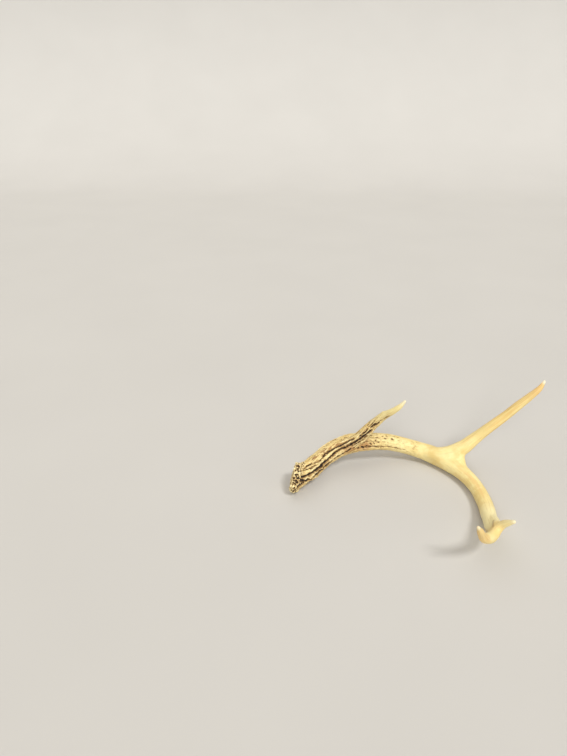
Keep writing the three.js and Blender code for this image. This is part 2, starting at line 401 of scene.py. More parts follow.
def falling(lengths, low, high):
    """A smooth fall from 1 at low to 0 at high, which are in millimetres."""
    return 1 - rising(lengths, low, high)


def lasting(lengths, begin, full, fade, gone):
    """A smooth rise from begin to full, and a smooth fall from fade to gone."""
    return rising(lengths, begin, full) * falling(lengths, fade, gone)


def noise_at(points, size, seed):
    """Smooth noise from -1 to 1 at each point, with features of that size."""
    shift = Vector((17.3, 5.1, 9.7)) * seed
    return np.array([noise.noise(Vector(p) + shift) for p in points / size])


def noise_vectors(points, size, seed):
    """Smooth noise from -1 to 1 along each axis."""
    return np.stack([noise_at(points, size, seed + i) for i in range(3)], axis=1)


def layered_noise(points, layers):
    """Noise added up from layers that each have a height, a size in millimetres and a seed."""
    return sum(height * noise_at(points, size * MM, seed) for height, size, seed in layers)


def in_metres(points):
    return [Vector(p) * MM for p in points]


def make_active(obj):
    bpy.ops.object.select_all(action="DESELECT")
    obj.select_set(True)
    bpy.context.view_layer.objects.active = obj


def vertex_array(mesh):
    values = np.empty(len(mesh.vertices) * 3)
    mesh.vertices.foreach_get("co", values)
    return values.reshape(-1, 3)


def normal_array(mesh):
    values = np.empty(len(mesh.vertices) * 3)
    mesh.vertex_normals.foreach_get("vector", values)
    return values.reshape(-1, 3)


class Route:
    """The axis of a branch as close points, with a frame that doesn't twist at each."""

    def __init__(self, points, radii):
        self.points = np.array(points)
        self.radii = np.array(radii)
        steps = np.linalg.norm(np.diff(self.points, axis=0), axis=1)
        self.along = np.concatenate([[0.0], np.cumsum(steps)])
        self.length = self.along[-1]
        tangents = np.gradient(self.points, axis=0)
        self.tangents = tangents / np.linalg.norm(tangents, axis=1)[:, None]
        carried = np.array([0.0, 0.0, 1.0])
        across = []
        for tangent in self.tangents:
            carried = carried - tangent * carried.dot(tangent)
            carried = carried / np.linalg.norm(carried)
            across.append(carried)
        self.across = np.array(across)
        self.beside = np.cross(self.tangents, self.across)

    def surface_point(self, distance, angle):
        """The point on the branch's plain surface at that distance and angle from the top."""
        i = int(np.argmin(np.abs(self.along - distance)))
        out = self.across[i] * math.cos(angle) + self.beside[i] * math.sin(angle)
        return self.points[i] + out * self.radii[i]

    def locate(self, vertices):
        """Each vertex's nearest route index, and its distance from the axis there."""
        tree = KDTree(len(self.points))
        for i, point in enumerate(self.points):
            tree.insert(point, i)
        tree.balance()
        found = [tree.find(vertex) for vertex in vertices]
        nearest = np.array([hit[1] for hit in found])
        reach = np.array([hit[2] for hit in found])
        return nearest, reach


def ball(centre, radius, squash=1.0, axis=(0, 0, 1)):
    """A ball, flattened along an axis to the share squash of its height."""
    turn = Vector((0, 0, 1)).rotation_difference(Vector(axis)).to_euler()
    bpy.ops.object.select_all(action="DESELECT")
    bpy.ops.mesh.primitive_ico_sphere_add(
        subdivisions=3, radius=radius, location=centre, rotation=turn, scale=(1, 1, squash)
    )
    return bpy.context.object


def balls(rows):
    """Balls from rows of x, y, z and radius in millimetres."""
    return [ball(Vector((x, y, z)) * MM, radius * MM) for x, y, z, radius in rows]


def draw_axis(stations):
    """A smooth open curve through the stations, with the radius of each."""
    bpy.ops.object.select_all(action="DESELECT")
    bpy.ops.curve.primitive_bezier_curve_add(enter_editmode=True)
    bpy.ops.curve.select_all(action="SELECT")
    bpy.ops.curve.delete(type="VERT")
    for x, y, z, radius in stations:
        bpy.ops.curve.vertex_add(location=(x * MM, y * MM, z * MM))
        bpy.ops.curve.radius_set(radius=radius * MM)
    bpy.ops.curve.select_all(action="SELECT")
    bpy.ops.curve.handle_type_set(type="AUTOMATIC")
    bpy.ops.object.editmode_toggle()
    return bpy.context.object


def route_of(spline, steps=60):
    """The route that a spline follows, with that many steps between two of its stations."""
    knots = spline.bezier_points
    points = []
    radii = []
    for start, end in zip(knots[:-1], knots[1:]):
        bend = geometry.interpolate_bezier(
            start.co, start.handle_right, end.handle_left, end.co, steps + 1
        )
        points += bend[:-1]
        radii += [start.radius + (end.radius - start.radius) * i / steps for i in range(steps)]
    points.append(knots[-1].co.copy())
    radii.append(knots[-1].radius)
    return Route(points, radii)


def grow_branch(stations):
    """A tube with a round tip on a smooth curve through the stations, and its route."""
    branch = draw_axis(stations)
    spline = branch.data.splines[0]
    spline.radius_interpolation = "CARDINAL"
    route = route_of(spline)
    branch.data.bevel_depth = 1.0
    branch.data.bevel_resolution = 8
    branch.data.resolution_u = 16
    branch.data.use_fill_caps = True
    bpy.ops.object.convert(target="MESH")
    tube = bpy.context.object
    tip = ball(route.points[-1], route.radii[-1] * TIP_SHARE)
    return [tube, tip], route


def stretch_web(rows, *others):
    """The closed skin stretched over a few balls and other shapes."""
    for part in (*balls(rows), *others):
        part.select_set(True)
    bpy.ops.object.join()
    bpy.ops.object.editmode_toggle()
    bpy.ops.mesh.select_all(action="SELECT")
    bpy.ops.mesh.convex_hull()
    bpy.ops.object.editmode_toggle()
    return bpy.context.object


def burr_disc(level, radius, flatness):
    """A flattened ball that far up the burr, across its axis."""
    return ball(BURR_START + BURR_AXIS * level * MM, radius * MM, flatness, BURR_AXIS)


def burr_collar():
    """The plain collar that the burr's knobs stand on."""
    bpy.ops.object.select_all(action="DESELECT")
    bpy.ops.mesh.primitive_cone_add(
        vertices=64,
        radius1=BURR_RADIUS - COLLAR_INSETS[0] * MM,
        radius2=BURR_RADIUS - COLLAR_INSETS[1] * MM,
        depth=BURR_LENGTH - COLLAR_SHORTER * MM,
        location=BURR_START + BURR_AXIS * (BURR_LENGTH / 2 + COLLAR_OFFSET * MM),
        rotation=Vector((0, 0, 1)).rotation_difference(BURR_AXIS).to_euler(),
    )
    return bpy.context.object


def burr_parts():
    """The collar of the burr, the domed seal and the fused knobs that stand round the rim."""
    parts = [burr_collar(), burr_disc(*SEAL_DOME)]
    up = (Vector((0, 0, 1)) - BURR_AXIS * BURR_AXIS.z).normalized()
    side = BURR_AXIS.cross(up)
    chance = np.random.default_rng(11)
    for level, count in KNOB_ROWS:
        for i in range(count):
            angle = 2 * math.pi * (i + chance.uniform(*KNOB_TURN)) / count
            size = chance.uniform(*KNOB_RADII) * MM
            reach = BURR_RADIUS - size + chance.uniform(*KNOB_REACH) * MM
            reach -= max(0.0, level - KNOB_LEAN_LEVEL) * KNOB_LEAN * MM
            out = up * math.cos(angle) + side * math.sin(angle)
            place = BURR_START + BURR_AXIS * (level + chance.uniform(*KNOB_RISE)) * MM
            parts.append(ball(place + out * reach, size))
    level, angle, reach, radius = LARGE_KNOB
    out = up * math.cos(angle) + side * math.sin(angle)
    parts.append(ball(BURR_START + BURR_AXIS * level * MM + out * reach * MM, radius * MM))
    return parts


def burr_web():
    """The web of bone under the burr, stretched out to the burr's foot."""
    return stretch_web(BURR_WEB, burr_disc(*BURR_FOOT))


def scattered_pearls(route):
    """Pearls of bone on the bark next to the burr, thickest on its under side."""
    parts = []
    chance = np.random.default_rng(5)
    for _ in range(SCATTERED_PEARLS):
        share = chance.random() ** 1.5
        distance = NEAREST_PEARL + (FURTHEST_PEARL - NEAREST_PEARL) * share
        angle = math.radians(chance.normal(*PEARL_ANGLES))
        centre = Vector(route.surface_point(distance * MM, angle))
        parts.append(ball(centre, chance.uniform(*PEARL_RADII) * MM))
    return parts


def place_on_branches(points, routes):
    """For each point: its branch, how far along it, its angle from the top of the branch,
    and how clearly it is that branch's (0 where branches meet, 1 away from the forks)."""
    best = np.full(len(points), np.inf)
    second = np.full(len(points), np.inf)
    owner = np.zeros(len(points), dtype=int)
    along = np.zeros(len(points))
    angle = np.zeros(len(points))
    for number, route in enumerate(routes):
        nearest, reach = route.locate(points)
        closeness = reach / route.radii[nearest]
        offset = points - route.points[nearest]
        turned = np.arctan2(
            (offset * route.beside[nearest]).sum(1), (offset * route.across[nearest]).sum(1)
        )
        nearer = closeness < best
        second = np.where(nearer, best, np.minimum(second, closeness))
        best[nearer] = closeness[nearer]
        owner[nearer] = number
        along[nearer] = route.along[nearest][nearer]
        angle[nearer] = turned[nearer]
    settled = smoothstep(second - best, 0.05, 0.7)
    return owner, along, angle, settled


def distance_from_tip(routes, owner, along):
    lengths = np.array([route.length for route in routes])
    return lengths[owner] - along


def ease(skin, name, weights, times):
    """Smooths the skin that many times, each vertex by its own weight."""
    group = skin.vertex_groups.new(name=name)
    for i in np.flatnonzero(weights > 0.02):
        group.add([int(i)], float(weights[i]), "REPLACE")
    bpy.ops.object.modifier_add(type="SMOOTH")
    smooth = skin.modifiers[-1]
    smooth.vertex_group = name
    smooth.factor = 0.5
    smooth.iterations = times
    bpy.ops.object.modifier_apply(modifier=smooth.name)
    bpy.ops.object.vertex_group_remove(all=True)


def merge(parts, name):
    """One closed skin over all the parts."""
    bpy.ops.object.select_all(action="DESELECT")
    for part in parts:
        part.select_set(True)
    bpy.context.view_layer.objects.active = parts[0]
    bpy.ops.object.join()
    skin = bpy.context.object
    skin.name = name
    bpy.ops.object.transform_apply(location=True, rotation=True, scale=True)
    bpy.ops.object.modifier_add(type="REMESH")
    remesh = skin.modifiers[-1]
    remesh.mode = "VOXEL"
    remesh.voxel_size = FACE_SIZE
    bpy.ops.object.modifier_apply(modifier=remesh.name)
    return skin


def ease_skin(skin, routes):
    """Eases the creases where parts met, least on the burr and the tips, most in the forks."""
    points = vertex_array(skin.data)
    owner, along, _, _ = place_on_branches(points, routes)
    from_tip = distance_from_tip(routes, owner, along)
    near_burr = (owner == BEAM) * falling(along, *NEAR_BURR)
    calm = rising(from_tip, *NEAR_TIP) * (1 - BURR_HOLD * near_burr) + LEAST_EASING
    ease(skin, "creases", np.minimum(calm, 1.0), CREASE_EASING)
    round_forks = np.zeros(len(points))
    for x, y, z, radius in FORKS:
        distance = np.linalg.norm(points - np.array((x, y, z)) * MM, axis=1)
        round_forks = np.maximum(round_forks, falling(distance, 0, radius))
    ease(skin, "forks", round_forks, FORK_EASING)


def refine_bark(skin, routes):
    """Halves the faces of the bark, where the carving needs them."""
    mesh = skin.data
    centres = np.empty(len(mesh.polygons) * 3)
    mesh.polygons.foreach_get("center", centres)
    owner, along, _, _ = place_on_branches(centres.reshape(-1, 3), routes)
    beam_bark = (owner == BEAM) & (along < FINE_BEAM_LENGTH * MM)
    brow_bark = (owner == BROW) & (along < FINE_BROW_LENGTH * MM)
    bpy.context.tool_settings.mesh_select_mode = (False, False, True)
    make_active(skin)
    mesh.polygons.foreach_set("select", beam_bark | brow_bark)
    bpy.ops.object.editmode_toggle()
    bpy.ops.mesh.subdivide(number_cuts=1)
    bpy.ops.mesh.vertices_smooth(factor=0.5, repeat=1)
    bpy.ops.object.editmode_toggle()


class Grooves:
    """Groove lines on the skin, each with a width, a depth and how dark it is."""

    STEP = 0.4 * MM

    def __init__(self, skin):
        mesh = skin.data
        self.surface = BVHTree.FromPolygons(
            [v.co for v in mesh.vertices], [p.vertices for p in mesh.polygons]
        )
        self.points = []
        self.sizes = []

    def add(self, points, width, depth, dark=1.0, fade=12):
        """Lays a groove through the points. fade is the length over which each end runs out."""
        knots = [Vector(p) for p in points]
        line = []
        for i in range(len(knots) - 1):
            before = knots[max(i - 1, 0)]
            after = knots[min(i + 2, len(knots) - 1)]
            start_pull = knots[i] + (knots[i + 1] - before) / 6
            end_pull = knots[i + 1] - (after - knots[i]) / 6
            count = max(2, round((knots[i + 1] - knots[i]).length / self.STEP))
            line += geometry.interpolate_bezier(
                knots[i], start_pull, end_pull, knots[i + 1], count
            )[:-1]
        total = len(line) * self.STEP
        for i, point in enumerate(line):
            placed = self.surface.find_nearest(point)[0]
            end = min(i * self.STEP, total - i * self.STEP)
            strength = float(rising(np.array(end), 0, fade))
            ragged = 1 + 0.45 * noise.noise(placed / (6 * MM))
            shade = dark * strength * min(1.0, 0.9 + 0.7 * noise.noise(placed / (3.5 * MM)))
            self.points.append(placed)
            self.sizes.append((width * MM * ragged, depth * MM * strength, shade))

    def read(self, vertices):
        """Distance to the nearest groove from each vertex, its width, depth and darkness."""
        tree = KDTree(len(self.points))
        for i, point in enumerate(self.points):
            tree.insert(point, i)
        tree.balance()
        found = [tree.find(vertex) for vertex in vertices]
        distance = np.array([hit[2] for hit in found])
        sizes = np.array(self.sizes)[[hit[1] for hit in found]]
        return distance, *sizes.T


def swung(mean, swing, shift, number):
    """A mean that swings from one groove to the next."""
    return mean + swing * math.sin(shift * number)


def wander(branch, angle, distances, number, waves):
    """Points along a branch, at distances in millimetres, that wander about that angle."""
    points = []
    for distance in distances:
        turn = 0.0
        for swing, length, shift in waves:
            turn += swing * math.sin(distance / length + shift * number)
        points.append(branch.surface_point(distance * MM, angle + turn))
    return points


def bark_grooves(skin, routes):
    """The long grooves and short cracks one by one, and wandering grooves round the rest."""
    grooves = Grooves(skin)
    for width, depth, dark, fade, points in GROOVES:
        grooves.add(in_metres(points), width, depth, dark, fade)
    width, depth, fade = FLECK_SIZE
    for dark, start, end in FLECKS:
        grooves.add(in_metres((start, end)), width, depth, dark, fade)
    for branch, angles, size, starts, ends, step, waves in WANDERING_GROOVES:
        for number, angle in enumerate(np.radians(angles)):
            distances = np.arange(swung(*starts, number), swung(*ends, number), step)
            grooves.add(wander(routes[branch], angle, distances, number, waves), *size)
    return grooves


class Skin:
    """The skin's vertices, with where on the antler each of them lies."""

    def __init__(self, mesh, routes):
        self.points = vertex_array(mesh)
        self.normals = normal_array(mesh)
        owner, along, angle, settled = place_on_branches(self.points, routes)
        self.owner = owner
        self.along = along
        self.settled = settled
        self.from_tip = distance_from_tip(routes, owner, along)
        self.bark = self.by_branch(
            {BEAM: falling(along, *BEAM_BARK_FADE), BROW: falling(along, *BROW_BARK_FADE)}
        )
        self.place_on_burr()
        self.rough = np.maximum(self.bark, self.burr)
        # Runs slowly along a branch and fast across it, for grain and streaks.
        girth = np.array([route.radii[0] for route in routes])[owner]
        self.grain = np.stack(
            [along * 0.1, girth * np.cos(angle), girth * np.sin(angle)], axis=1
        )

    def by_branch(self, values):
        """Values for the vertices of some branches, and 0 for those of the others."""
        return np.select([self.owner == number for number in values], list(values.values()), 0.0)

    def place_on_burr(self):
        """How much each vertex is part of the burr, and of the seal inside its rim."""
        from_seal = self.points - np.array(BURR_START)
        level = from_seal @ np.array(BURR_AXIS)
        reach = np.linalg.norm(from_seal - level[:, None] * np.array(BURR_AXIS), axis=1)
        on_beam = self.owner == BEAM
        self.seal = on_beam * falling(reach, *SEAL_RADII) * falling(level, *SEAL_LEVELS)
        level += BURR_EDGE_WANDER * MM * noise_at(self.points, 4 * MM, 41)
        burr_end = BURR_LENGTH + BURR_FADE * MM
        self.burr = on_beam * (1 - smoothstep(level, BURR_LENGTH, burr_end))

    def groove_relief(self, skin, routes):
        """The carved grooves, with the bark between them lifted into ridges, and their dirt with
        painted shade.
        """
        stray = 0
        for reach, size, seed in STRAYS:
            stray = stray + noise_vectors(self.points, size * MM, seed) * reach * MM
        grooves = bark_grooves(skin, routes)
        distance, width, depth, dark = grooves.read(self.points + stray)
        cut = np.exp(-((distance / width) ** 2))
        ridge = (1 - self.burr) * self.bark * rising(distance, *RIDGE_EDGES)
        # The darkest core is shifted towards the groove's upper wall, as painted shade on that
        # wall.
        wall = np.array(SHADED_UPPER_WALL)
        distance, width, _, darkest = grooves.read(self.points + stray - wall)
        core = np.exp(-((distance / (GROOVE_SHADE_CORE * width)) ** 2))
        relief = RIDGE_LIFT * MM * ridge - depth * cut
        return relief, np.maximum(GROOVE_DIRT_AND_SHADE * dark * cut, darkest * core)

    def crack_relief(self):
        """Short lengthwise cracks that break the ridges up."""
        line = 1 - 2.4 * np.abs(noise_at(self.grain, 2.4 * MM, 21))
        broken = smoothstep(noise_at(self.grain * (2.5, 1, 1), 4 * MM, 22), -0.2, 0.2)
        crack = smoothstep(line, 0.45, 1.0) * broken * self.bark * (1 - self.burr)
        return -CRACK_DEPTH * MM * crack * self.settled

    def burr_relief(self):
        """Lumps and the pits between them, and the porous bone of the seal inside the burr."""
        cells = np.array([noise.voronoi(Vector(p))[0][:2] for p in self.points / (5 * MM)])
        lump = 0.6 - cells[:, 0]
        seam = 1 - smoothstep(cells[:, 1] - cells[:, 0], 0.03, 0.4)
        pit = seam * smoothstep(noise_at(self.points, 3.5 * MM, 44), -0.25, 0.15)
        knobbly = BURR_LUMP_HEIGHT * lump - BURR_PIT_DEPTH * pit
        knobbly = self.burr * (1 - 0.9 * self.seal) * knobbly
        swell = SEAL_SWELL * noise_at(self.points, 7 * MM, 45)
        pores = smoothstep(noise_at(self.points, 2.1 * MM, 46), 0.12, 0.42)
        return MM * (knobbly + self.seal * (swell - SEAL_PORE_DEPTH * pores))

    def uneven_relief(self):
        """Slow swells all over, and finer lumps on the bark."""
        swell = layered_noise(self.points, SWELLS)
        return MM * (swell + self.bark * layered_noise(self.points, LUMPS))

    def pit_relief(self):
        relief = np.zeros(len(self.points))
        for x, y, z, radius in PITS:
            distance = np.linalg.norm(self.points - np.array((x, y, z)) * MM, axis=1)
            relief -= PIT_DEPTH * MM * np.exp(-((distance / (radius * MM)) ** 2))
        return relief


def hollowness(mesh, steps):
    """How far each vertex lies below the skin within that many steps along edges of it."""
    points = vertex_array(mesh)
    ends = np.empty(len(mesh.edges) * 2, dtype=int)
    mesh.edges.foreach_get("vertices", ends)
    first, last = ends.reshape(-1, 2).T
    neighbours = np.bincount(ends, minlength=len(points))
    around = points.copy()
    for _ in range(steps):
        for axis in range(3):
            column = around[:, axis]
            total = np.bincount(first, column[last], len(points))
            total += np.bincount(last, column[first], len(points))
            around[:, axis] = (column + total / neighbours) / 2
    return ((around - points) * normal_array(mesh)).sum(1)


def distance_to_line(points, start, end):
    """How far each point is from the straight line between two places in millimetres."""
    start = np.array(start) * MM
    along = np.array(end) * MM - start
    share = np.clip((points - start) @ along / along.dot(along), 0, 1)
    return np.linalg.norm(points - start - share[:, None] * along, axis=1)


def distance_to_lines(points, lines):
    return np.minimum(*[distance_to_line(points, *line) for line in lines])


def keep_mask(mesh, name, values):
    layer = mesh.attributes.new(name, "FLOAT", "POINT")
    layer.data.foreach_set("value", values)


def keep_dirt_shade_and_wear_masks(mesh, place, held):
    """Dirt with painted shade where the carved skin is hollow or already holds them, and wear
    with a painted highlight where it stands out.
    """
    hollow = hollowness(mesh, SURROUNDING_FACES)
    # Dirt with painted shade in hollows.
    dirty_and_shaded = rising(hollow + SOONER_BURR_DIRT_AND_SHADE * MM * place.burr, *DIRT_AND_SHADE_DEPTHS)
    keep_mask(mesh, "dirt_and_shade", np.maximum(HOLLOW_DIRT_AND_SHADE * place.rough * dirty_and_shaded, held))
    # Wear with a painted highlight on skin that stands out.
    wear_and_highlight = rising(SOONER_BURR_WEAR_AND_HIGHLIGHT * MM * place.burr - hollow, *WEAR_AND_HIGHLIGHT_HEIGHTS)
    keep_mask(mesh, "wear_and_highlight", place.rough * wear_and_highlight)


def keep_bark_masks(mesh, place):
    """The bark with its veins and rusty fork, the brown stains with painted shade in the creases
    at the beam's end, and the flecks beyond the bark.
    """
    points = place.points
    along = place.along
    keep_mask(mesh, "bark", place.rough)
    # Brown stain with painted shade in the creases where the beam's end turns up.
    keep_mask(mesh, "crease_stain_and_shade", falling(distance_to_lines(points, SHADED_CREASE_STAINS), *SHADED_CREASE_WIDTH))
    strip = distance_to_lines(points, [VEINED_STRIP[:2], VEINED_STRIP[1:]])
    keep_mask(mesh, "veined", place.bark * (1 - 0.65 * rising(strip, *VEINED_WIDTH)))
    flecks = place.by_branch(
        {BEAM: lasting(along, *BEAM_FLECKS), BROW: lasting(along, *BROW_FLECKS)}
    )
    keep_mask(mesh, "flecks", flecks * place.settled)
    patch = falling(distance_to_line(points, *FORK_PATCH), *FORK_PATCH_WIDTH)
    keep_mask(mesh, "patch", patch)


def keep_bone_masks(mesh, place):
    """The tints of the smooth bone: yellow tines, honey and pale stretches, and tips."""
    along = place.along
    yellow = place.by_branch({
        SECOND: rising(along, *YELLOW_SECOND_TINE),
        THIRD: 0.6 * rising(along, *YELLOW_THIRD_TINE),
        BEAM: rising(along, *YELLOW_BEAM_END),
    })
    keep_mask(mesh, "yellow", yellow)
    keep_mask(mesh, "settled", place.settled)
    keep_mask(mesh, "honey", place.by_branch({BEAM: lasting(along, *HONEY_BEAM)}))
    paled = place.by_branch(
        {BEAM: lasting(along, *PALE_BEAM), THIRD: 0.8 * rising(along, *PALE_THIRD_TINE)}
    )
    keep_mask(mesh, "paled", paled)
    tip = falling(place.from_tip, -1, TIP_LENGTHS[place.owner])
    keep_mask(mesh, "tip", TIP_STRENGTHS[place.owner] * tip)
    amber = place.by_branch({
        SECOND: falling(place.from_tip, *AMBER_SECOND_TINE),
        BEAM: 0.5 * falling(place.from_tip, *AMBER_BEAM_END),
    })
    keep_mask(mesh, "amber", amber)
    layer = mesh.attributes.new("grain", "FLOAT_VECTOR", "POINT")
    layer.data.foreach_set("vector", place.grain.ravel())


def carve(skin, routes):
    """Moves the skin's vertices to carve it, and keeps masks for its colours."""
    mesh = skin.data
    place = Skin(mesh, routes)
    height, groove_dirt_and_shade = place.groove_relief(skin, routes)
    height += place.crack_relief() + place.burr_relief() + place.uneven_relief()
    pits = place.pit_relief()
    height += pits
    mesh.vertices.foreach_set("co", (place.points + place.normals * height[:, None]).ravel())
    mesh.update()
    # Pits and grooves also hold dirt with painted shade.
    keep_dirt_shade_and_wear_masks(mesh, place, np.maximum(groove_dirt_and_shade, -pits / (PIT_DEPTH * MM)))
    keep_bark_masks(mesh, place)
    keep_bone_masks(mesh, place)


class Nodes:
    """Short ways to add and join a material's nodes."""

    def __init__(self, name):
        self.material = bpy.data.materials.new(name)
        self.material.use_nodes = True
        self.tree = self.material.node_tree
        self.shader = self.tree.nodes["Principled BSDF"]

    def add(self, kind, **settings):
        node = self.tree.nodes.new(kind)
        for name, value in settings.items():
            setattr(node, name, value)
        return node

    def feed(self, socket, value):
        if isinstance(value, bpy.types.NodeSocket):
            self.tree.links.new(value, socket)
        else:
            socket.default_value = value

    def object_position(self):
        return self.add("ShaderNodeTexCoord").outputs["Object"]

    def mask(self, name):
        return self.add("ShaderNodeAttribute", attribute_name=name).outputs["Fac"]

    def vector(self, name):
        return self.add("ShaderNodeAttribute", attribute_name=name).outputs["Vector"]

    def stretch(self, vector, scale):
        node = self.add("ShaderNodeVectorMath", operation="MULTIPLY")
        self.feed(node.inputs[0], vector)
        node.inputs[1].default_value = scale
        return node.outputs["Vector"]

    def noise(self, vector, scale, detail):
        """Smooth noise with about scale features to the metre, and finer ones by detail."""
        node = self.add("ShaderNodeTexNoise")
        self.feed(node.inputs["Vector"], vector)
        node.inputs["Scale"].default_value = scale
        node.inputs["Detail"].default_value = detail
        node.inputs["Roughness"].default_value = 0.55
        return node.outputs["Fac"]

    def between(self, value, low, high, to_low=0.0, to_high=1.0):
        """value from low to high, mapped smoothly to to_low to to_high."""
        node = self.add("ShaderNodeMapRange", interpolation_type="SMOOTHSTEP")
        self.feed(node.inputs["Value"], value)
        node.inputs["From Min"].default_value = low
        node.inputs["From Max"].default_value = high
        node.inputs["To Min"].default_value = to_low
        node.inputs["To Max"].default_value = to_high
        return node.outputs["Result"]

    def maths(self, operation, first, second):
        node = self.add("ShaderNodeMath", operation=operation)
        self.feed(node.inputs[0], first)
        self.feed(node.inputs[1], second)
        return node.outputs["Value"]

    def plus(self, first, second):
        return self.maths("ADD", first, second)

    def times(self, *values):
        product = values[0]
        for value in values[1:]:
            product = self.maths("MULTIPLY", product, value)
        return product

    def mix(self, share, first, second):
        node = self.add("ShaderNodeMix", data_type="RGBA")
        self.feed(node.inputs["Factor"], share)
        self.feed(node.inputs["A"], first)
        self.feed(node.inputs["B"], second)
        return node.outputs["Result"]

    def tint(self, colour, tone, share):
        """colour, changed towards a tone by that share."""
        return self.mix(share, colour, srgb(*tone))

    def bump(self, height, depth, strength, under=None):
        """A bump of the height times the depth, over the bump under it."""
        node = self.add("ShaderNodeBump")
        self.feed(node.inputs["Height"], height)
        node.inputs["Distance"].default_value = depth
        node.inputs["Strength"].default_value = strength
        if under is not None:
            self.feed(node.inputs["Normal"], under)
        return node.outputs["Normal"]


class AntlerBone(Nodes):
    """The antler's material, layer by layer, with the textures that its layers share."""

    def __init__(self):
        super().__init__("antler bone")
        self.position = self.object_position()
        self.grain = self.vector("grain")
        self.settled = self.mask("settled")
        self.bark = self.mask("bark")
        # Dirt with painted shade in hollows, grooves and pits.
        self.dirt_and_shade_mask = self.mask("dirt_and_shade")
        self.mottle = self.noise(self.position, 130, 3)
        self.specks = self.noise(self.position, 620, 3)
        self.pores = self.noise(self.position, 1500, 2)
        self.streaks = self.noise(self.grain, 420, 3)
        short = self.noise(self.stretch(self.grain, (3.4, 1, 1)), 640, 2)
        self.fleck = self.times(self.mask("flecks"), self.between(short, 0.57, 0.64))

    def smooth_bone(self):
        """Cream bone in two tones, with a light mottle and honey streaks."""
        patches = self.noise(self.position, 28, 2)
        colour = self.mix(self.between(patches, 0.38, 0.62), srgb(*CREAM), srgb(*DEEP_CREAM))
        colour = self.tint(colour, LIGHT_MOTTLE, self.between(self.mottle, 0.45, 0.7, 0, 0.4))
        broad = self.noise(self.stretch(self.grain, (0.35, 1, 1)), 95, 2)
        honey = self.times(self.between(broad, 0.44, 0.6, 0, 0.6), self.mask("honey"))
        return self.tint(colour, HONEY, honey)

    def tines_over(self, colour):
        """Yellow streaked tines, an amber end, pale stretches and fine lines of the grain."""
        bands = self.between(self.noise(self.grain, 130, 2), 0.38, 0.6)
        yellow = self.mix(bands, srgb(*TINE_LIGHT), srgb(*TINE_DARK))
        colour = self.mix(self.times(self.mask("yellow"), 0.85), colour, yellow)
        colour = self.tint(colour, AMBER, self.times(self.mask("amber"), 0.6))
        colour = self.tint(colour, PALE_BONE, self.times(self.mask("paled"), 0.8))
        lines = self.times(self.between(self.streaks, 0.5, 0.72, 0, 0.28), self.settled)
        return self.tint(colour, GRAIN_LINE, lines)

    def bark_over(self, colour):
        """Tan specks, pale worn ridges with a painted highlight, and brown veins."""
        tan = self.times(self.bark, self.between(self.specks, 0.4, 0.66, 0.1, 0.5))
        colour = self.tint(colour, BARK_TAN, tan)
        # Worn ridges, lightened also as a painted highlight.
        colour = self.tint(colour, WORN_RIDGE_AND_HIGHLIGHT, self.times(self.mask("wear_and_highlight"), 0.8))
        wavy = self.noise(self.stretch(self.grain, (2.2, 1, 1)), 320, 3)
        uneven = self.between(self.mottle, 0.35, 0.55, 0.45, 0.9)
        veins = self.times(self.between(wavy, 0.5, 0.58), self.mask("veined"), uneven)
        return self.tint(colour, VEIN_BROWN, veins)

    def marks_over(self, colour):
        """The rusty fork, the brown stains with painted shade in the creases at the beam's end,
        and the flecks.
        """
        rust = self.times(self.mask("patch"), self.between(self.mottle, 0.34, 0.56, 0.2, 0.85))
        colour = self.tint(colour, RUST, rust)
        # Brown stain with painted shade in the creases where the beam's end turns up.
        colour = self.tint(colour, SHADED_CREASE_BROWN, self.times(self.mask("crease_stain_and_shade"), 0.5))
        return self.tint(colour, FLECK_BROWN, self.times(self.fleck, 0.45))

    def dirt_and_shade_over(self, colour):
        """Dirt with painted shade, with a ragged tan edge, through brown to black in the deepest
        hollows.
        """
        ragged = self.between(self.specks, 0.25, 0.75, -0.15, 0.15)
        frayed = self.times(ragged, self.between(self.dirt_and_shade_mask, 0.02, 0.3))
        dirt_and_shade = self.plus(self.dirt_and_shade_mask, frayed)
        colour = self.tint(colour, DIRT_AND_SHADE_TAN, self.between(dirt_and_shade, 0.03, 0.24, 0, 0.85))
        colour = self.tint(colour, DIRT_AND_SHADE_BROWN, self.between(dirt_and_shade, 0.2, 0.46))
        return self.tint(colour, DIRT_AND_SHADE_BLACK, self.between(dirt_and_shade, 0.44, 0.7))

    def roughness(self):
        """A soft sheen on smooth bone, duller on the bark and dullest where the dirt and painted
        shade lie.
        """
        rough = self.between(self.pores, 0.3, 0.7, 0.44, 0.58)
        rough = self.plus(rough, self.times(self.bark, 0.12))
        return self.plus(rough, self.times(self.dirt_and_shade_mask, 0.2))

    def fine_relief(self):
        """Pores, and over them the flecks, the grain and the bark's specks."""
        pitted = self.bump(self.pores, 0.15 * MM, 0.35)
        pitted = self.bump(self.fleck, -0.5 * MM, 0.7, pitted)
        grained = self.bump(self.times(self.streaks, self.settled), 0.4 * MM, 0.45, pitted)
        return self.bump(self.times(self.specks, self.bark), 0.6 * MM, 0.6, grained)


def antler_material():
    bone = AntlerBone()
    colour = bone.tines_over(bone.smooth_bone())
    colour = bone.bark_over(colour)
    colour = bone.marks_over(colour)
    colour = bone.dirt_and_shade_over(colour)
    colour = bone.tint(colour, IVORY_TIP, bone.mask("tip"))
    bone.feed(bone.shader.inputs["Base Color"], colour)
    bone.feed(bone.shader.inputs["Roughness"], bone.roughness())
    bone.feed(bone.shader.inputs["Normal"], bone.fine_relief())
    return bone.material


def floor_material():
    floor = Nodes("pale floor")
    cloud = floor.noise(floor.object_position(), 3, 2)
    grey = floor.mix(cloud, srgb(*FLOOR_GREY), srgb(*FLOOR_LIGHT_GREY))
    floor.feed(floor.shader.inputs["Base Color"], grey)
    floor.shader.inputs["Roughness"].default_value = 0.85
    return floor.material


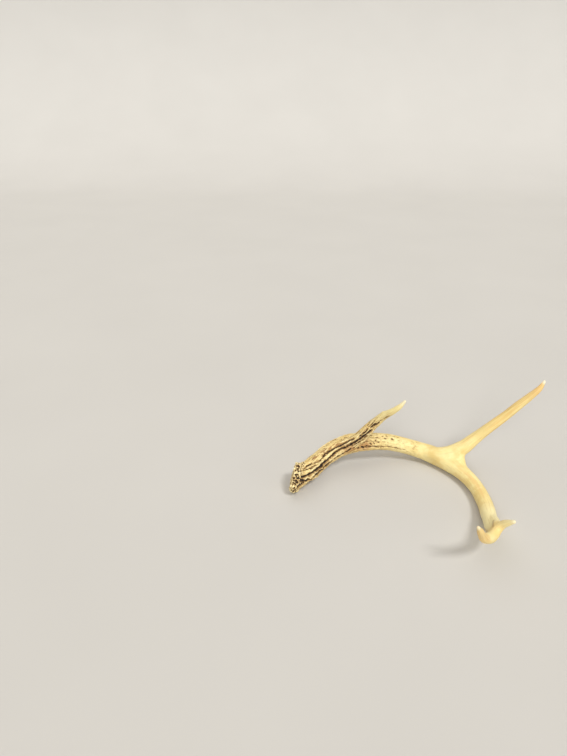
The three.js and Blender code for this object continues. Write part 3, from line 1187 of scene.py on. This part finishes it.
def build_antler():
    """The branches, webs, burr and pearls merged into one skin, which is carved and coloured."""
    parts = []
    routes = []
    for stations in (MAIN_BEAM, BROW_TINE, SECOND_TINE, THIRD_TINE):
        branch_parts, route = grow_branch(stations)
        parts += branch_parts
        routes.append(route)
    parts += [burr_web(), stretch_web(SECOND_WEB), stretch_web(THIRD_WEB)]
    parts += burr_parts() + scattered_pearls(routes[BEAM])
    parts += balls([BROW_KNOB, *EDGE_PEARLS])
    skin = merge(parts, "antler")
    ease_skin(skin, routes)
    refine_bark(skin, routes)
    carve(skin, routes)
    make_active(skin)
    bpy.ops.object.shade_smooth()
    skin.data.materials.clear()
    skin.data.materials.append(antler_material())
    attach(skin, "root")
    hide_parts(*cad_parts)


def select_edges(mesh, wanted):
    """Selects the edges whose ends are all as wanted, and nothing else."""
    bpy.context.tool_settings.mesh_select_mode = (False, True, False)
    for edge in mesh.edges:
        edge.select = all(wanted(mesh.vertices[v].co) for v in edge.vertices)
    for polygon in mesh.polygons:
        polygon.select = False


def build_stage():
    """A floor that curves up into a wall well behind the antler."""
    bpy.ops.object.select_all(action="DESELECT")
    bpy.ops.mesh.primitive_plane_add(size=FLOOR_SIZE)
    floor = bpy.context.object
    floor.name = "floor"
    back = FLOOR_SIZE / 2 - 0.01
    select_edges(floor.data, lambda end: end.y > back)
    bpy.ops.object.editmode_toggle()
    bpy.ops.mesh.extrude_region_move(TRANSFORM_OT_translate={"value": (0, 0, WALL_HEIGHT)})
    bpy.ops.object.editmode_toggle()
    select_edges(floor.data, lambda end: end.y > back and end.z < 0.01)
    bpy.ops.object.editmode_toggle()
    bpy.ops.mesh.bevel(offset=WALL_BEND, segments=24, affect="EDGES")
    bpy.ops.object.editmode_toggle()
    bpy.ops.object.shade_smooth()
    floor.data.materials.append(floor_material())


def add_sun(name, towards, strength, spread, colour):
    """A soft sun shining from the direction of towards."""
    bpy.ops.object.light_add(type="SUN", location=Vector(towards).normalized() * 2)
    lamp = bpy.context.object
    lamp.name = name
    lamp.data.energy = strength
    lamp.data.color = colour
    lamp.data.angle = math.radians(spread)
    lamp.rotation_euler = Vector(towards).to_track_quat("Z", "Y").to_euler()


def build_world():
    """A faint warm light from all round, behind a pale backdrop that lights nothing."""
    world = bpy.data.worlds.new("studio")
    world.use_nodes = True
    nodes = world.node_tree.nodes
    links = world.node_tree.links
    nodes["Background"].inputs["Color"].default_value = WORLD_COLOUR
    nodes["Background"].inputs["Strength"].default_value = WORLD_STRENGTH
    backdrop = nodes.new("ShaderNodeBackground")
    backdrop.inputs["Color"].default_value = srgb(*BACKDROP_GREY)
    sees = nodes.new("ShaderNodeLightPath").outputs["Is Camera Ray"]
    either = nodes.new("ShaderNodeMixShader")
    links.new(sees, either.inputs[0])
    links.new(nodes["Background"].outputs[0], either.inputs[1])
    links.new(backdrop.outputs[0], either.inputs[2])
    links.new(either.outputs[0], nodes["World Output"].inputs["Surface"])
    bpy.context.scene.world = world
    bpy.context.scene.view_settings.view_transform = "Standard"


def build_camera():
    """A camera in front of the antler and above it, that looks down by CAMERA_DIP degrees."""
    bpy.ops.object.camera_add(location=CAMERA_PLACE)
    camera = bpy.context.object
    camera.rotation_euler = (math.radians(90 - CAMERA_DIP), 0, 0)
    camera.data.sensor_fit = "VERTICAL"
    camera.data.sensor_height = SENSOR_HEIGHT
    camera.data.lens = FOCAL_LENGTH
    bpy.context.scene.camera = camera


build_antler()
build_stage()
for sun in SUNS:
    add_sun(*sun)
build_world()
build_camera()
